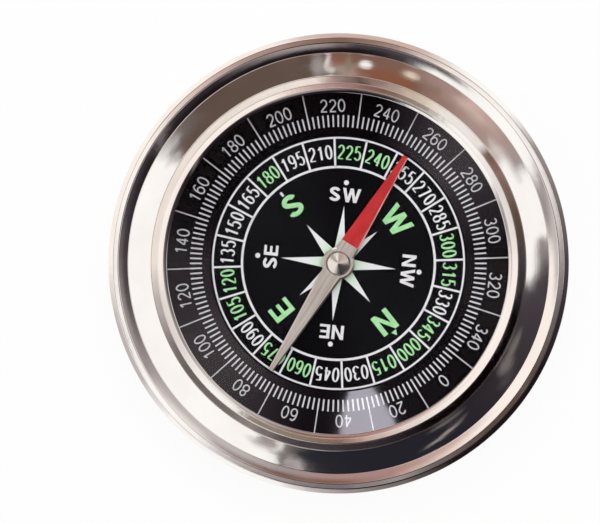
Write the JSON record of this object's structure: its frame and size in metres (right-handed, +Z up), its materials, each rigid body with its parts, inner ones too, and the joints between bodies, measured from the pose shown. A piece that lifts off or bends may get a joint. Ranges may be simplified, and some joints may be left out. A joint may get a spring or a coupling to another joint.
{
  "type": "magnetic compass",
  "caption": "Round needle compass in a pressed stainless-steel case with a sloping bezel, flat glass, black bearing dial and a sloping degree ring.",
  "frame": {"origin": "centre of the flat base, where the compass stands", "axes": "+Z up through the needle's pivot and out of the glass, +Y towards the dial's north mark, +X towards its east mark"},
  "size_m": [0.075, 0.075, 0.0156],
  "materials": {
    "polished_steel": "mirror-polished stainless steel sheet",
    "crystal_glass": "clear flat mineral glass",
    "gasket_rubber": "matte black",
    "ring_plastic": "gloss black, printed with a light grey degree scale",
    "dial_enamel": "satin black, printed in white and light green",
    "spacer_plastic": "plain moulded",
    "post_brass": "turned",
    "pin_steel": "ground and hardened",
    "needle_steel": "satin, with the north half painted red",
    "hub_nickel": "turned and nickel plated",
    "jewel_agate": "polished"
  },
  "bodies": {
    "case": {"rear_case": "polished_steel", "bezel": "polished_steel", "crystal": "crystal_glass", "crystal_gasket": "gasket_rubber", "degree_ring": "ring_plastic", "dial_plate": "dial_enamel", "dial_spacer": "spacer_plastic", "pivot_post": "post_brass", "pivot_pin": "pin_steel"},
    "needle": {"needle": "needle_steel", "needle_hub": "hub_nickel", "jewel_bearing": "jewel_agate"}
  },
  "joints": [
    {"name": "needle_spin", "type": "hinge", "parent": "case", "child": "needle", "pos_m": [0, 0, 0.0117], "axis": [0, 0, 1], "continuous": true}
  ]
}
